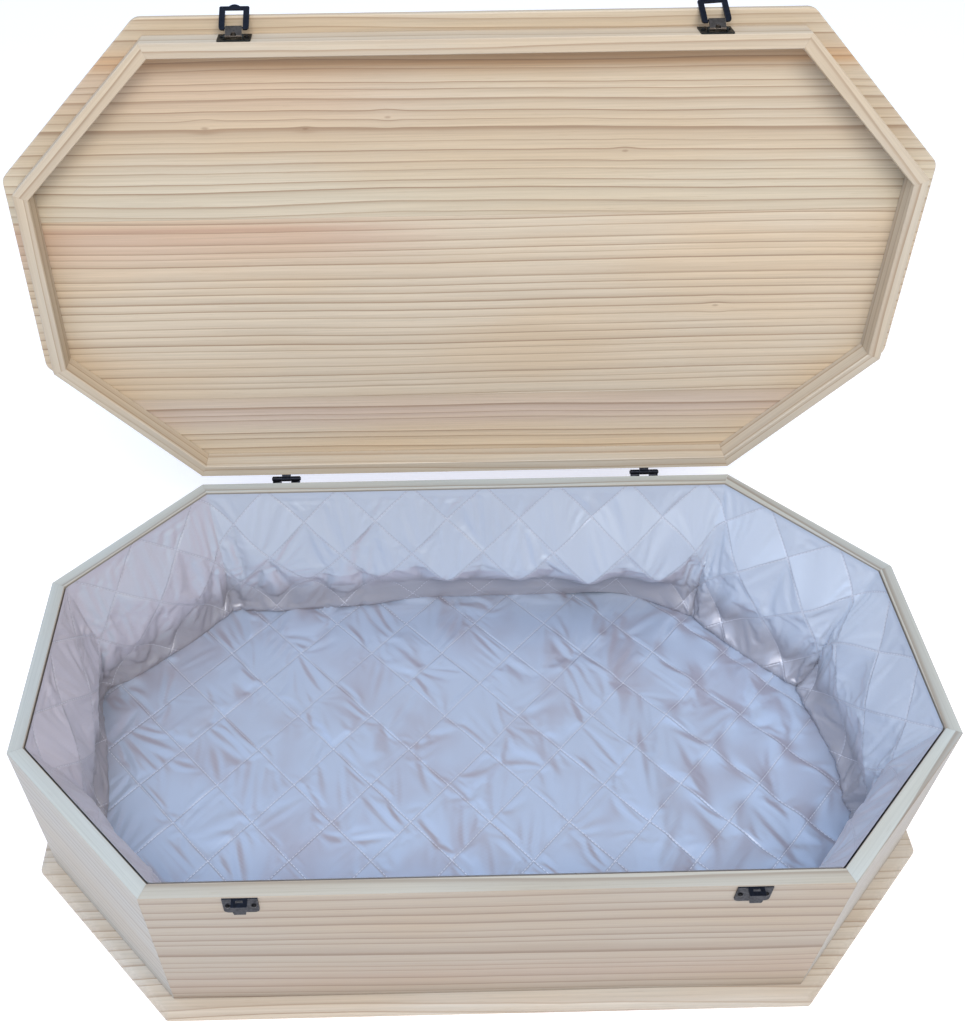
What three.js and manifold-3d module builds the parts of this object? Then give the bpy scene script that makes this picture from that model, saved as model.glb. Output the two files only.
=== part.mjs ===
// An elongated octagonal pine coffin for a pet, with a hinged lid standing open, two lever
// latches and a quilted satin lining. Millimetres, +Z up, the front towards -Y, the origin at
// the centre of the underside.

import * as THREE from 'three';
import { mergeVertices } from 'three/addons/utils/BufferGeometryUtils.js';
import Module from 'manifold-3d';

// Driving dimensions of the box
const bodyHalfLength = 440;
const bodyHalfWidth = 242.5;
const cornerCut = 141;
const wallHeight = 208;
const wallThickness = 14;
const baseThickness = 12;
const baseOverhang = 16;
const baseCornerRadius = 5;
const basePlankJoints = [-183.5, 61];

// Driving dimensions of the lid
const railHeight = 25;
const lidBoardThickness = 12;
const lidOverhang = 15;
const lidCornerRadius = 13;
const lidPlankJoints = [-61.5, 153];
const lidOpenAngle = THREE.MathUtils.degToRad(96.6);

// Edges: the boards' outer edge is rounded over, and every other edge is only eased
const roundOver = 7.5;
const easedEdge = 1.2;
const railChamfer = 0.8;

// Clearances
const glueGap = 0.12;
const restGap = 0.15;
const seamGap = 0.4;
const liningGap = 0.8;

// Hinges
const hingeX = 204;
const hingeLength = 31;
const hingeAxisOffset = 5.4;
const barrelRadius = 2.9;
const barrelBore = 1.45;
const pinRadius = 1.15;
const pinHeadRadius = 1.9;
const leafThickness = 1.1;
const leafDepth = 17;
const leafNearEdge = 3.4;
const hingeScrewX = 9;
const hingeScrewDepth = 11.2;

// Latches and catches
const latchX = 214.5;
const fittingHalfWidth = 15;
const fittingThickness = 1.1;
const leverHalfWidth = 7.3;
const loopInnerHalfWidth = 8.1;
const loopOuterHalfWidth = 13.4;
const loopReach = 23.5;
const loopBarWidth = 3.8;
const loopThickness = 1.6;
const loopLean = THREE.MathUtils.degToRad(32.5);
const rightLoopSkew = THREE.MathUtils.degToRad(4);
const pegRadius = 0.8;
const pegBore = 1.1;

// Screws
const screwShankRadius = 0.9;
const screwHoleRadius = 1.2;
const screwHeadRadius = 2.3;
const screwHeadHeight = 1.5;
const screwLength = 8;

// Lining
const padHeight = 26;
const padCrown = 5;
const bandTopDrop = 5;

const baseTop = baseThickness;
const wallBottom = baseTop + restGap;
const wallTop = baseTop + wallHeight;
const partingPlane = wallTop + seamGap;
const hingeAxisY = bodyHalfWidth + hingeAxisOffset;
const hingeAxisZ = wallTop + seamGap / 2;

// Materials
const pine = new THREE.MeshStandardMaterial({ color: 0xe3cda6, roughness: 0.6, metalness: 0 });
const pinkPine = new THREE.MeshStandardMaterial({ color: 0xd9b893, roughness: 0.6, metalness: 0 });
const bronze = new THREE.MeshStandardMaterial({ color: 0x2f2a26, roughness: 0.42, metalness: 0.85 });
const satin = new THREE.MeshStandardMaterial({ color: 0xd8ccd8, roughness: 0.35, metalness: 0 });

const wasm = await Module();
wasm.setup();

// Joining and cutting of closed solids

function solidOf(geometry) {
  const bare = geometry.clone();
  bare.deleteAttribute('normal');
  bare.deleteAttribute('uv');
  const merged = mergeVertices(bare, 1e-4);
  return new wasm.Manifold(new wasm.Mesh({
    numProp: 3,
    vertProperties: new Float32Array(merged.attributes.position.array),
    triVerts: new Uint32Array(merged.index.array),
  }));
}

function geometryOf(solid) {
  const mesh = solid.getMesh();
  const geometry = new THREE.BufferGeometry();
  geometry.setAttribute('position', new THREE.BufferAttribute(mesh.vertProperties.slice(), 3));
  geometry.setIndex(new THREE.BufferAttribute(mesh.triVerts.slice(), 1));
  geometry.computeVertexNormals();
  return geometry;
}

function joined(geometries) {
  return geometryOf(geometries.map(solidOf).reduce((whole, next) => whole.add(next)));
}

function cut(geometry, tools) {
  return geometryOf(tools.map(solidOf).reduce((whole, tool) => whole.subtract(tool), solidOf(geometry)));
}

function box(low, high) {
  const size = high.map((value, axis) => value - low[axis]);
  const geometry = new THREE.BoxGeometry(...size);
  return geometry.translate(...low.map((value, axis) => value + size[axis] / 2));
}

// A cylinder with its axis along X, from one x to another
function rodAlongX(radius, fromX, toX, y, z, sides = 16) {
  const rod = new THREE.CylinderGeometry(radius, radius, toX - fromX, sides);
  return rod.rotateZ(Math.PI / 2).translate((fromX + toX) / 2, y, z);
}

// A cylinder with its axis along Z, from one z to another
function rodAlongZ(radius, x, y, fromZ, toZ, sides = 10) {
  const rod = new THREE.CylinderGeometry(radius, radius, toZ - fromZ, sides);
  return rod.rotateX(Math.PI / 2).translate(x, y, (fromZ + toZ) / 2);
}

// The octagon of the plan. Its sides run anticlockwise seen from above, from the front.

const sideNames = [
  'front', 'front_right', 'right', 'back_right', 'back', 'back_left', 'left', 'front_left',
];
const cornerTurn = Math.PI / sideNames.length;
const mitreSlope = Math.tan(cornerTurn);
const sideDirections = sideNames.map((name, index) => new THREE.Vector2(
  Math.cos(2 * cornerTurn * index), Math.sin(2 * cornerTurn * index),
));

const outerCorners = [
  [-bodyHalfLength + cornerCut, -bodyHalfWidth],
  [bodyHalfLength - cornerCut, -bodyHalfWidth],
  [bodyHalfLength, -bodyHalfWidth + cornerCut],
  [bodyHalfLength, bodyHalfWidth - cornerCut],
  [bodyHalfLength - cornerCut, bodyHalfWidth],
  [-bodyHalfLength + cornerCut, bodyHalfWidth],
  [-bodyHalfLength, bodyHalfWidth - cornerCut],
  [-bodyHalfLength, -bodyHalfWidth + cornerCut],
].map((corner) => new THREE.Vector2(...corner));

function sideLength(index) {
  const next = outerCorners[(index + 1) % sideNames.length];
  return outerCorners[index].distanceTo(next);
}

// The octagon's corners after each side has moved inwards by its own inset
function insetCorners(insets) {
  return outerCorners.map((corner, index) => {
    const before = (index + sideNames.length - 1) % sideNames.length;
    const along = sideDirections[index];
    const inward = new THREE.Vector2(-along.y, along.x);
    const slide = (insets[index] * Math.cos(2 * cornerTurn) - insets[before]) / Math.sin(2 * cornerTurn);
    return corner.clone().addScaledVector(inward, insets[index]).addScaledVector(along, -slide);
  });
}

// The same octagon moved outwards, with its corners rounded in plan
function roundedOutline(outset, radius, steps = 4) {
  const centres = insetCorners(sideNames.map(() => radius - outset));
  const points = [];
  centres.forEach((centre, index) => {
    const from = cornerTurn * 2 * index - Math.PI / 2 - 2 * cornerTurn;
    for (let step = 0; step <= steps; step += 1) {
      const angle = from + (2 * cornerTurn * step) / steps;
      const arm = new THREE.Vector2(Math.cos(angle), Math.sin(angle)).multiplyScalar(radius);
      points.push(centre.clone().add(arm));
    }
  });
  return points;
}

// A closed solid through a stack of outlines with the same number of points
function stack(levels) {
  const count = levels[0].points.length;
  const positions = levels.flatMap(({ points, z }) => points.flatMap((point) => [point.x, point.y, z]));
  const triangles = [];
  for (let level = 0; level < levels.length - 1; level += 1) {
    for (let index = 0; index < count; index += 1) {
      const low = level * count + index;
      const lowNext = level * count + ((index + 1) % count);
      triangles.push(low, lowNext, lowNext + count, low, lowNext + count, low + count);
    }
  }
  const top = (levels.length - 1) * count;
  THREE.ShapeUtils.triangulateShape(levels[0].points, []).forEach(([a, b, c]) => {
    triangles.push(c, b, a);
  });
  THREE.ShapeUtils.triangulateShape(levels[levels.length - 1].points, []).forEach(([a, b, c]) => {
    triangles.push(top + a, top + b, top + c);
  });
  const geometry = new THREE.BufferGeometry();
  geometry.setAttribute('position', new THREE.Float32BufferAttribute(positions, 3));
  geometry.setIndex(triangles);
  return geometry;
}

// Boards of the base and of the lid's top: one edge rounded over, the other eased

function panel(outset, cornerRadius, low, high) {
  const levels = [];
  const easeSteps = 2;
  const roundSteps = 5;
  for (let step = 0; step <= easeSteps; step += 1) {
    const angle = (Math.PI / 2) * (step / easeSteps);
    levels.push({ inset: easedEdge * (1 - Math.sin(angle)), z: low + easedEdge * (1 - Math.cos(angle)) });
  }
  for (let step = 0; step <= roundSteps; step += 1) {
    const angle = (Math.PI / 2) * (step / roundSteps);
    levels.push({ inset: roundOver * (1 - Math.cos(angle)), z: high - roundOver * (1 - Math.sin(angle)) });
  }
  return stack(levels.map(({ inset, z }) => ({
    points: roundedOutline(outset - inset, Math.max(cornerRadius - inset, easedEdge)), z,
  })));
}

// The panel is glued up from planks that run along X. Each plank is the panel between two joints.
function planks(panelGeometry, joints, low, high) {
  const margin = 30;
  const edges = [-bodyHalfWidth - margin, ...joints, bodyHalfWidth + margin];
  const whole = solidOf(panelGeometry);
  return edges.slice(1).map((edge, index) => {
    const slab = box(
      [-bodyHalfLength - margin, edges[index] + glueGap / 2, low - margin],
      [bodyHalfLength + margin, edge - glueGap / 2, high + margin],
    );
    return geometryOf(whole.intersect(solidOf(slab)));
  });
}

// A wall board or a lid rail: a section swept along its side and mitred at both ends. In its own
// frame X runs along the side, Y inwards from the outer face and Z up.
function mitredBoard(length, height, chamfer = railChamfer) {
  const section = new THREE.Shape([
    new THREE.Vector2(chamfer, 0),
    new THREE.Vector2(wallThickness - chamfer, 0),
    new THREE.Vector2(wallThickness, chamfer),
    new THREE.Vector2(wallThickness, height - chamfer),
    new THREE.Vector2(wallThickness - chamfer, height),
    new THREE.Vector2(chamfer, height),
    new THREE.Vector2(0, height - chamfer),
    new THREE.Vector2(0, chamfer),
  ]);
  const board = new THREE.ExtrudeGeometry(section, { depth: length, bevelEnabled: false });
  const axes = [[0, 1, 0], [0, 0, 1], [1, 0, 0]].map((axis) => new THREE.Vector3(...axis));
  board.applyMatrix4(new THREE.Matrix4().makeBasis(...axes));
  const position = board.attributes.position;
  for (let index = 0; index < position.count; index += 1) {
    const setback = position.getY(index) * mitreSlope + glueGap / 2;
    const isStart = position.getX(index) < length / 2;
    position.setX(index, isStart ? setback : length - setback);
  }
  return board;
}

// Pilot holes through a board's outer face, each given by its place along the board and its height
function pilotHoles(places) {
  return places.map(([along, height]) => {
    const hole = new THREE.CylinderGeometry(screwHoleRadius, screwHoleRadius, 2 * (screwLength + 1), 8);
    return hole.translate(along, 0, height);
  });
}

const object = new THREE.Group();

function place(parent, name, geometry, material) {
  const mesh = new THREE.Mesh(geometry, material);
  mesh.name = name;
  parent.add(mesh);
  return mesh;
}

function ringOfBoards(parent, prefix, bottom, height, holesOfSide) {
  sideNames.forEach((side, index) => {
    const length = sideLength(index);
    const board = mitredBoard(length, height);
    const holes = pilotHoles(holesOfSide(side, length));
    const mesh = place(parent, `${prefix}_${side}`, holes.length ? cut(board, holes) : board, pine);
    mesh.position.set(outerCorners[index].x, outerCorners[index].y, bottom);
    mesh.rotation.z = 2 * cornerTurn * index;
  });
}

// Where the screws go: on the front for latches or catches, on the back for hinge leaves.
const fittingScrewX = 11;
const latchScrewHeight = 11;
const catchScrewDrop = 12.5;

function screwPlaces(side, length, fittingHeight, leafHeight) {
  const spread = { front: [latchX, fittingScrewX], back: [hingeX, hingeScrewX] }[side];
  if (!spread) return [];
  const height = side === 'front' ? fittingHeight : leafHeight;
  const [centre, step] = spread;
  return [-1, 1].flatMap((end) => [-1, 1].map((half) => [
    length / 2 + end * centre + half * step, height,
  ]));
}

// Base

const basePanel = panel(baseOverhang, baseCornerRadius, 0, baseTop);
const basePlankNames = ['base_plank_front', 'base_plank_middle', 'base_plank_back'];
planks(basePanel, basePlankJoints, 0, baseTop).forEach((plank, index) => {
  place(object, basePlankNames[index], plank, index === 1 ? pinkPine : pine);
});

// Walls

ringOfBoards(object, 'wall', wallBottom, wallTop - wallBottom, (side, length) => screwPlaces(
  side, length, wallTop - catchScrewDrop - wallBottom, hingeAxisZ - hingeScrewDepth - wallBottom,
));

// Lid, built closed and swung open about the hinge axis

const lidSwing = new THREE.Group();
lidSwing.position.set(0, hingeAxisY, hingeAxisZ);
lidSwing.rotation.x = -lidOpenAngle;
object.add(lidSwing);
const lid = new THREE.Group();
lid.position.set(0, -hingeAxisY, -hingeAxisZ);
lidSwing.add(lid);

ringOfBoards(lid, 'lid_rail', partingPlane, railHeight, (side, length) => screwPlaces(
  side, length, latchScrewHeight, hingeAxisZ + hingeScrewDepth - partingPlane,
));

const lidBoardBottom = partingPlane + railHeight + glueGap;
const lidBoardTop = lidBoardBottom + lidBoardThickness;
const lidPanel = panel(lidOverhang, lidCornerRadius, lidBoardBottom, lidBoardTop);
const lidPlankNames = ['lid_plank_front', 'lid_plank_middle', 'lid_plank_back'];
planks(lidPanel, lidPlankJoints, lidBoardBottom, lidBoardTop).forEach((plank, index) => {
  place(lid, lidPlankNames[index], plank, index === 0 ? pine : pinkPine);
});

// Screws: a dome head on a pointed shank, along local Z, with the head's underside at zero

function screwGeometry() {
  const tip = 1.5;
  const profile = [
    [0, -screwLength], [screwShankRadius, -screwLength + tip], [screwShankRadius, 0],
    [screwHeadRadius, 0], [0.92 * screwHeadRadius, 0.5 * screwHeadHeight],
    [0.58 * screwHeadRadius, 0.88 * screwHeadHeight], [0, screwHeadHeight],
  ].map((point) => new THREE.Vector2(...point));
  return new THREE.LatheGeometry(profile, 10).rotateX(Math.PI / 2);
}

// A fitting's frame on the front: X along the wall, Y up from the parting line, Z out of the wood
function frontFrame(parent, x, z) {
  const frame = new THREE.Group();
  frame.position.set(x, -bodyHalfWidth, z);
  frame.rotation.x = Math.PI / 2;
  parent.add(frame);
  return frame;
}

// A flat plate with rounded corners, lying just off the wood
function fittingPlate(low, high, cornerRadius) {
  const half = fittingHalfWidth;
  const shape = new THREE.Shape();
  shape.moveTo(-half + cornerRadius, low);
  shape.lineTo(half - cornerRadius, low);
  shape.absarc(half - cornerRadius, low + cornerRadius, cornerRadius, -Math.PI / 2, 0);
  shape.lineTo(half, high);
  shape.lineTo(-half, high);
  shape.absarc(-half + cornerRadius, low + cornerRadius, cornerRadius, Math.PI, 1.5 * Math.PI);
  const plate = new THREE.ExtrudeGeometry(shape, {
    depth: fittingThickness, bevelEnabled: false, curveSegments: 5,
  });
  return plate.translate(0, 0, restGap);
}

const fittingFace = restGap + fittingThickness;

function fittingScrews(frame, prefix, height) {
  [['left', -1], ['right', 1]].forEach(([side, sign]) => {
    const screw = place(frame, `${prefix}_screw_${side}`, screwGeometry(), bronze);
    screw.position.set(sign * fittingScrewX, height, fittingFace + restGap);
  });
}

function screwHolesIn(height) {
  return [-1, 1].map((sign) => rodAlongZ(screwHoleRadius, sign * fittingScrewX, height, -1, fittingFace + 1));
}

// Catch: a plate with a hook bent out of it, open below, with a slot in the hook's top

const catchTop = -0.4;
const catchBottom = -24.4;
const hookHalfWidth = 6.9;
const hookReach = 8.4;
const hookDrop = 13;
const hookTaper = 0.16;
const sheet = 1.2;

function catchGeometry() {
  const plate = fittingPlate(catchBottom, catchTop, 4.5);
  const hookTop = box(
    [-hookHalfWidth, catchTop - sheet, fittingFace - sheet / 2],
    [hookHalfWidth, catchTop, hookReach],
  );
  const lip = box([-hookHalfWidth, catchTop - hookDrop, hookReach - sheet], [hookHalfWidth, catchTop, hookReach]);
  const tapers = [-1, 1].map((sign) => {
    const taper = new THREE.BoxGeometry(6, 2 * hookDrop, 6).translate(sign * 3, -hookDrop, 0);
    return taper.rotateZ(-sign * hookTaper).translate(sign * hookHalfWidth, catchTop - sheet, hookReach);
  });
  const slot = box([-3.1, catchTop - 3, 2.4], [3.1, catchTop + 1, 4.4]);
  return cut(joined([plate, cut(joined([hookTop, lip]), tapers)]), [slot, ...screwHolesIn(-catchScrewDrop)]);
}

// Latch plate: two ears hold the lever's pivot

const plateBottom = 0.6;
const plateTop = 19.6;
const leverPivot = new THREE.Vector2(5, 3.45);
const leverPivotRadius = 1.6;
const loopPivot = new THREE.Vector2(12.5, 8.6);
const loopPivotRadius = 1.9;
const leverNotchRadius = 2.6;
const earInner = 7.9;
const earOuter = 9.1;

function latchPlateGeometry() {
  const ears = [-1, 1].map((sign) => {
    const [from, to] = sign < 0 ? [-earOuter, -earInner] : [earInner, earOuter];
    const foot = box(
      [from, leverPivot.x - 1.8, fittingFace - sheet / 2],
      [to, leverPivot.x + 1.8, leverPivot.y],
    );
    return joined([foot, rodAlongX(1.8, from, to, leverPivot.x, leverPivot.y, 12)]);
  });
  const pivotBore = rodAlongX(pegBore, -earOuter - 1, earOuter + 1, leverPivot.x, leverPivot.y, 10);
  const plate = fittingPlate(plateBottom, plateTop, 1.5);
  return cut(joined([plate, ...ears]), [pivotBore, ...screwHolesIn(latchScrewHeight)]);
}

// Lever: a bent sheet with a rolled end at each pivot and bores for the loop. A notch in its lower
// end bares the peg that turns in the ears.

function leverGeometry() {
  const link = loopPivot.clone().sub(leverPivot);
  const across = new THREE.Vector2(-link.y, link.x).normalize();
  const outline = [
    leverPivot.clone().addScaledVector(across, leverPivotRadius),
    leverPivot.clone().addScaledVector(across, -0.2),
    loopPivot.clone().addScaledVector(across, -0.2),
    loopPivot.clone().addScaledVector(across, loopPivotRadius),
  ];
  const web = new THREE.ExtrudeGeometry(new THREE.Shape(outline), {
    depth: 2 * leverHalfWidth, bevelEnabled: false,
  });
  const axes = [[0, 1, 0], [0, 0, 1], [1, 0, 0]].map((axis) => new THREE.Vector3(...axis));
  web.applyMatrix4(new THREE.Matrix4().makeBasis(...axes)).translate(-leverHalfWidth, 0, 0);
  const rolls = [
    rodAlongX(leverPivotRadius, -leverHalfWidth, leverHalfWidth, leverPivot.x, leverPivot.y),
    rodAlongX(loopPivotRadius, -leverHalfWidth, leverHalfWidth, loopPivot.x, loopPivot.y),
  ];
  const notch = rodAlongZ(leverNotchRadius, 0, leverPivot.x - 0.6, 0, loopPivot.y, 16);
  const boreDepth = 2.6;
  const bores = [-1, 1].map((sign) => {
    const outer = sign * (leverHalfWidth + 1);
    const inner = sign * (leverHalfWidth - boreDepth);
    return rodAlongX(pegBore, Math.min(outer, inner), Math.max(outer, inner), loopPivot.x, loopPivot.y, 10);
  });
  const peg = rodAlongX(pegRadius, -earOuter, earOuter, leverPivot.x, leverPivot.y, 10);
  return joined([cut(joined([web, ...rolls]), [notch, ...bores]), peg]);
}

// Loop: an open frame with a thumb bump on its far bar and two pegs that turn in the lever

function loopGeometry(skew) {
  const armEnd = -2.2;
  const bumpHalfWidth = 4;
  const bumpHeight = 2.2;
  const shape = new THREE.Shape();
  shape.moveTo(loopInnerHalfWidth, armEnd);
  shape.lineTo(loopInnerHalfWidth + 2.2, armEnd);
  shape.quadraticCurveTo(loopOuterHalfWidth, armEnd, loopOuterHalfWidth, 1.6);
  shape.lineTo(loopOuterHalfWidth, loopReach - 1);
  shape.lineTo(loopOuterHalfWidth - 1, loopReach);
  shape.lineTo(bumpHalfWidth + 1, loopReach);
  shape.quadraticCurveTo(0, loopReach + 2 * bumpHeight, -bumpHalfWidth - 1, loopReach);
  shape.lineTo(-loopOuterHalfWidth + 1, loopReach);
  shape.lineTo(-loopOuterHalfWidth, loopReach - 1);
  shape.lineTo(-loopOuterHalfWidth, 1.6);
  shape.quadraticCurveTo(-loopOuterHalfWidth, armEnd, -loopInnerHalfWidth - 2.2, armEnd);
  shape.lineTo(-loopInnerHalfWidth, armEnd);
  shape.lineTo(-loopInnerHalfWidth, loopReach - loopBarWidth);
  shape.lineTo(loopInnerHalfWidth, loopReach - loopBarWidth);
  const frame = new THREE.ExtrudeGeometry(shape, {
    depth: loopThickness, bevelEnabled: false, curveSegments: 6,
  });
  frame.translate(0, 0, -loopThickness / 2).rotateZ(skew);
  const pegLength = 2;
  const pegs = [
    rodAlongX(pegRadius - 0.05, loopInnerHalfWidth - pegLength, loopInnerHalfWidth + 1, 0, 0, 10),
    rodAlongX(pegRadius - 0.05, -loopInnerHalfWidth - 1, -loopInnerHalfWidth + pegLength, 0, 0, 10),
  ];
  return joined([frame, ...pegs]);
}

[['left', -1], ['right', 1]].forEach(([side, sign]) => {
  const onWall = frontFrame(object, sign * latchX, wallTop);
  place(onWall, `catch_${side}`, catchGeometry(), bronze);
  fittingScrews(onWall, `catch_${side}`, -catchScrewDrop);

  const onLid = frontFrame(lid, sign * latchX, partingPlane);
  place(onLid, `latch_${side}_plate`, latchPlateGeometry(), bronze);
  fittingScrews(onLid, `latch_${side}`, latchScrewHeight);
  place(onLid, `latch_${side}_lever`, leverGeometry(), bronze);
  const skew = side === 'right' ? rightLoopSkew : 0;
  const loop = place(onLid, `latch_${side}_loop`, loopGeometry(skew), bronze);
  loop.position.set(0, loopPivot.x, loopPivot.y);
  loop.rotation.x = loopLean;
});

// Hinges. A leaf's own frame has its origin on the hinge axis, X along it, Y away from the wood
// and Z up. The body's leaf hangs below the axis, and the lid's is its mirror image above it.

const knuckleGap = 0.3;
const knuckleLength = (hingeLength - 2 * knuckleGap) / 3;
const leafFace = -hingeAxisOffset + restGap;

function knuckleWithNeck(fromX, toX) {
  const outer = leafFace + leafThickness;
  const neck = new THREE.Shape([
    new THREE.Vector2(leafFace, -leafNearEdge - 2.4),
    new THREE.Vector2(outer, -leafNearEdge - 2.4),
    new THREE.Vector2(outer, -leafNearEdge - 0.9),
    new THREE.Vector2(-1.6, -2.3),
    new THREE.Vector2(0, -2.2),
    new THREE.Vector2(0, -1.6),
    new THREE.Vector2(-2.4, -0.9),
    new THREE.Vector2(leafFace, -leafNearEdge + 0.2),
  ]);
  const sweep = new THREE.ExtrudeGeometry(neck, { depth: toX - fromX, bevelEnabled: false });
  const axes = [[0, 1, 0], [0, 0, 1], [1, 0, 0]].map((axis) => new THREE.Vector3(...axis));
  sweep.applyMatrix4(new THREE.Matrix4().makeBasis(...axes)).translate(fromX, 0, 0);
  return [sweep, rodAlongX(barrelRadius, fromX, toX, 0, 0)];
}

function hingeLeaf(knuckleStarts) {
  const half = hingeLength / 2;
  const plate = box([-half, leafFace, -leafDepth], [half, leafFace + leafThickness, -leafNearEdge]);
  const knuckles = knuckleStarts.flatMap((start) => knuckleWithNeck(start, start + knuckleLength));
  const holes = [-1, 1].map((sign) => {
    const hole = new THREE.CylinderGeometry(screwHoleRadius, screwHoleRadius, 6, 10);
    return hole.translate(sign * hingeScrewX, leafFace, -hingeScrewDepth);
  });
  const bore = rodAlongX(barrelBore, -half - 1, half + 1, 0, 0);
  return cut(joined([plate, ...knuckles]), [bore, ...holes]);
}

// The mirror image above the axis, with each triangle turned over so that it still faces out
function mirroredUp(geometry) {
  const mirrored = geometry.clone().scale(1, 1, -1);
  const corners = mirrored.index.array;
  for (let start = 0; start < corners.length; start += 3) {
    [corners[start], corners[start + 1]] = [corners[start + 1], corners[start]];
  }
  mirrored.computeVertexNormals();
  return mirrored;
}

function hingePin() {
  const half = hingeLength / 2;
  const headLength = 0.9;
  const profile = [
    [0, -half - headLength], [pinHeadRadius, -half - headLength], [pinHeadRadius, -half - restGap],
    [pinRadius, -half - restGap], [pinRadius, half + restGap], [pinHeadRadius, half + restGap],
    [pinHeadRadius, half + headLength], [0, half + headLength],
  ].map((point) => new THREE.Vector2(...point));
  return new THREE.LatheGeometry(profile, 12).rotateZ(-Math.PI / 2);
}

function hingeScrews(frame, prefix, height) {
  [['left', -1], ['right', 1]].forEach(([side, sign]) => {
    const screw = place(frame, `${prefix}_screw_${side}`, screwGeometry(), bronze);
    screw.position.set(sign * hingeScrewX, leafFace + leafThickness + restGap, height);
    screw.rotation.x = -Math.PI / 2;
  });
}

[['left', -1], ['right', 1]].forEach(([side, sign]) => {
  const half = hingeLength / 2;
  const onBody = new THREE.Group();
  onBody.position.set(sign * hingeX, hingeAxisY, hingeAxisZ);
  object.add(onBody);
  place(onBody, `hinge_${side}_body_leaf`, hingeLeaf([-half, half - knuckleLength]), bronze);
  place(onBody, `hinge_${side}_pin`, hingePin(), bronze);
  hingeScrews(onBody, `hinge_${side}_body`, -hingeScrewDepth);

  const onLid = new THREE.Group();
  onLid.position.copy(onBody.position);
  lid.add(onLid);
  place(onLid, `hinge_${side}_lid_leaf`, mirroredUp(hingeLeaf([-knuckleLength / 2])), bronze);
  hingeScrews(onLid, `hinge_${side}_lid`, hingeScrewDepth);
});

// Lining: a padded floor and a padded band round the walls, thicker towards the floor

function floorPad() {
  const edge = wallThickness + liningGap;
  const crownInset = 62;
  return stack([
    { inset: edge, z: baseTop + restGap },
    { inset: edge, z: baseTop + padHeight },
    { inset: edge + crownInset, z: baseTop + padHeight + 0.1 },
    { inset: edge + crownInset + 30, z: baseTop + padHeight + padCrown },
  ].map(({ inset, z }) => ({ points: insetCorners(sideNames.map(() => inset)), z })));
}

// How far the band stands in from the wall's inner face, by side, from its top to its foot
const bandProfile = [
  { share: 1, front: 9, side: 9, diagonal: 9, back: 9 },
  { share: 0.72, front: 14, side: 21, diagonal: 18, back: 14 },
  { share: 0.4, front: 21, side: 34, diagonal: 28, back: 19 },
  { share: 0.12, front: 27, side: 42, diagonal: 34, back: 22 },
  { share: 0, front: 25, side: 39, diagonal: 31, back: 20 },
];

function sideBand() {
  const foot = baseTop + padHeight + liningGap;
  const top = wallTop - bandTopDrop;
  const insetOf = (level, side) => {
    if (side.includes('_')) return level.diagonal;
    return { front: level.front, back: level.back }[side] ?? level.side;
  };
  const rings = bandProfile.map((level) => ({
    corners: insetCorners(sideNames.map((side) => wallThickness + insetOf(level, side))),
    z: foot + level.share * (top - foot),
  }));
  const outer = insetCorners(sideNames.map(() => wallThickness + liningGap));
  rings.push({ corners: outer, z: foot }, { corners: outer, z: top });
  const count = sideNames.length;
  const positions = rings.flatMap(({ corners, z }) => corners.flatMap((corner) => [corner.x, corner.y, z]));
  const triangles = [];
  rings.forEach((ring, level) => {
    const next = (level + 1) % rings.length;
    for (let index = 0; index < count; index += 1) {
      const side = (index + 1) % count;
      const [a, b] = [level * count + index, level * count + side];
      const [c, d] = [next * count + side, next * count + index];
      triangles.push(a, b, c, a, c, d);
    }
  });
  const geometry = new THREE.BufferGeometry();
  geometry.setAttribute('position', new THREE.Float32BufferAttribute(positions, 3));
  geometry.setIndex(triangles);
  return geometry;
}

place(object, 'lining_floor_pad', floorPad(), satin);
place(object, 'lining_side_band', sideBand(), satin);

export default object;
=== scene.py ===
"""Looks for an octagonal pine pet coffin with a hinged lid, lever latches and a quilted satin lining.

Metres, +Z up, the front towards -Y. The rigid solids stay as they are and get wood and metal
materials; the lining's two solids are replaced by simulated quilted cloth.
"""

import math

import bpy
import numpy as np
from mathutils import Matrix, Vector, noise


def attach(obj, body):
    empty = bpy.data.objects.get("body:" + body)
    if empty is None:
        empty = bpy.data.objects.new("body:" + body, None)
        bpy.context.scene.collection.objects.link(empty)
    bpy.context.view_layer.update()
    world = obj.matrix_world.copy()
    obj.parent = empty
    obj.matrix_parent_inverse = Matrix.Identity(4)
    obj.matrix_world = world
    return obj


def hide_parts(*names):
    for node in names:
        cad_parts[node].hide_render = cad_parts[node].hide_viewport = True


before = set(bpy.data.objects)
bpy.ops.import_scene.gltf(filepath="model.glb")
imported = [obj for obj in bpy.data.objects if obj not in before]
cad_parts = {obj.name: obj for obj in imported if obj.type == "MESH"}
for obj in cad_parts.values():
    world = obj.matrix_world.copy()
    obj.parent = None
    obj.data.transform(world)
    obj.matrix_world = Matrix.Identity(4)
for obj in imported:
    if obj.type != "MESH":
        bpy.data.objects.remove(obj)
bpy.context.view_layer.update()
scene = bpy.context.scene

# Camera, fitted to the photo's corner points

camera_data = bpy.data.cameras.new("camera")
camera_data.lens = 40.074
camera_data.sensor_width = 36.0
camera_data.shift_x = 0.07176
camera_data.shift_y = -0.05996
camera = bpy.data.objects.new("camera", camera_data)
camera.location = (-0.07526, -0.67517, 1.13619)
camera.rotation_euler = [math.radians(angle) for angle in (46.523, 0.450, -1.1213)]
scene.collection.objects.link(camera)
scene.camera = camera

# Sizes shared with the solids

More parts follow.
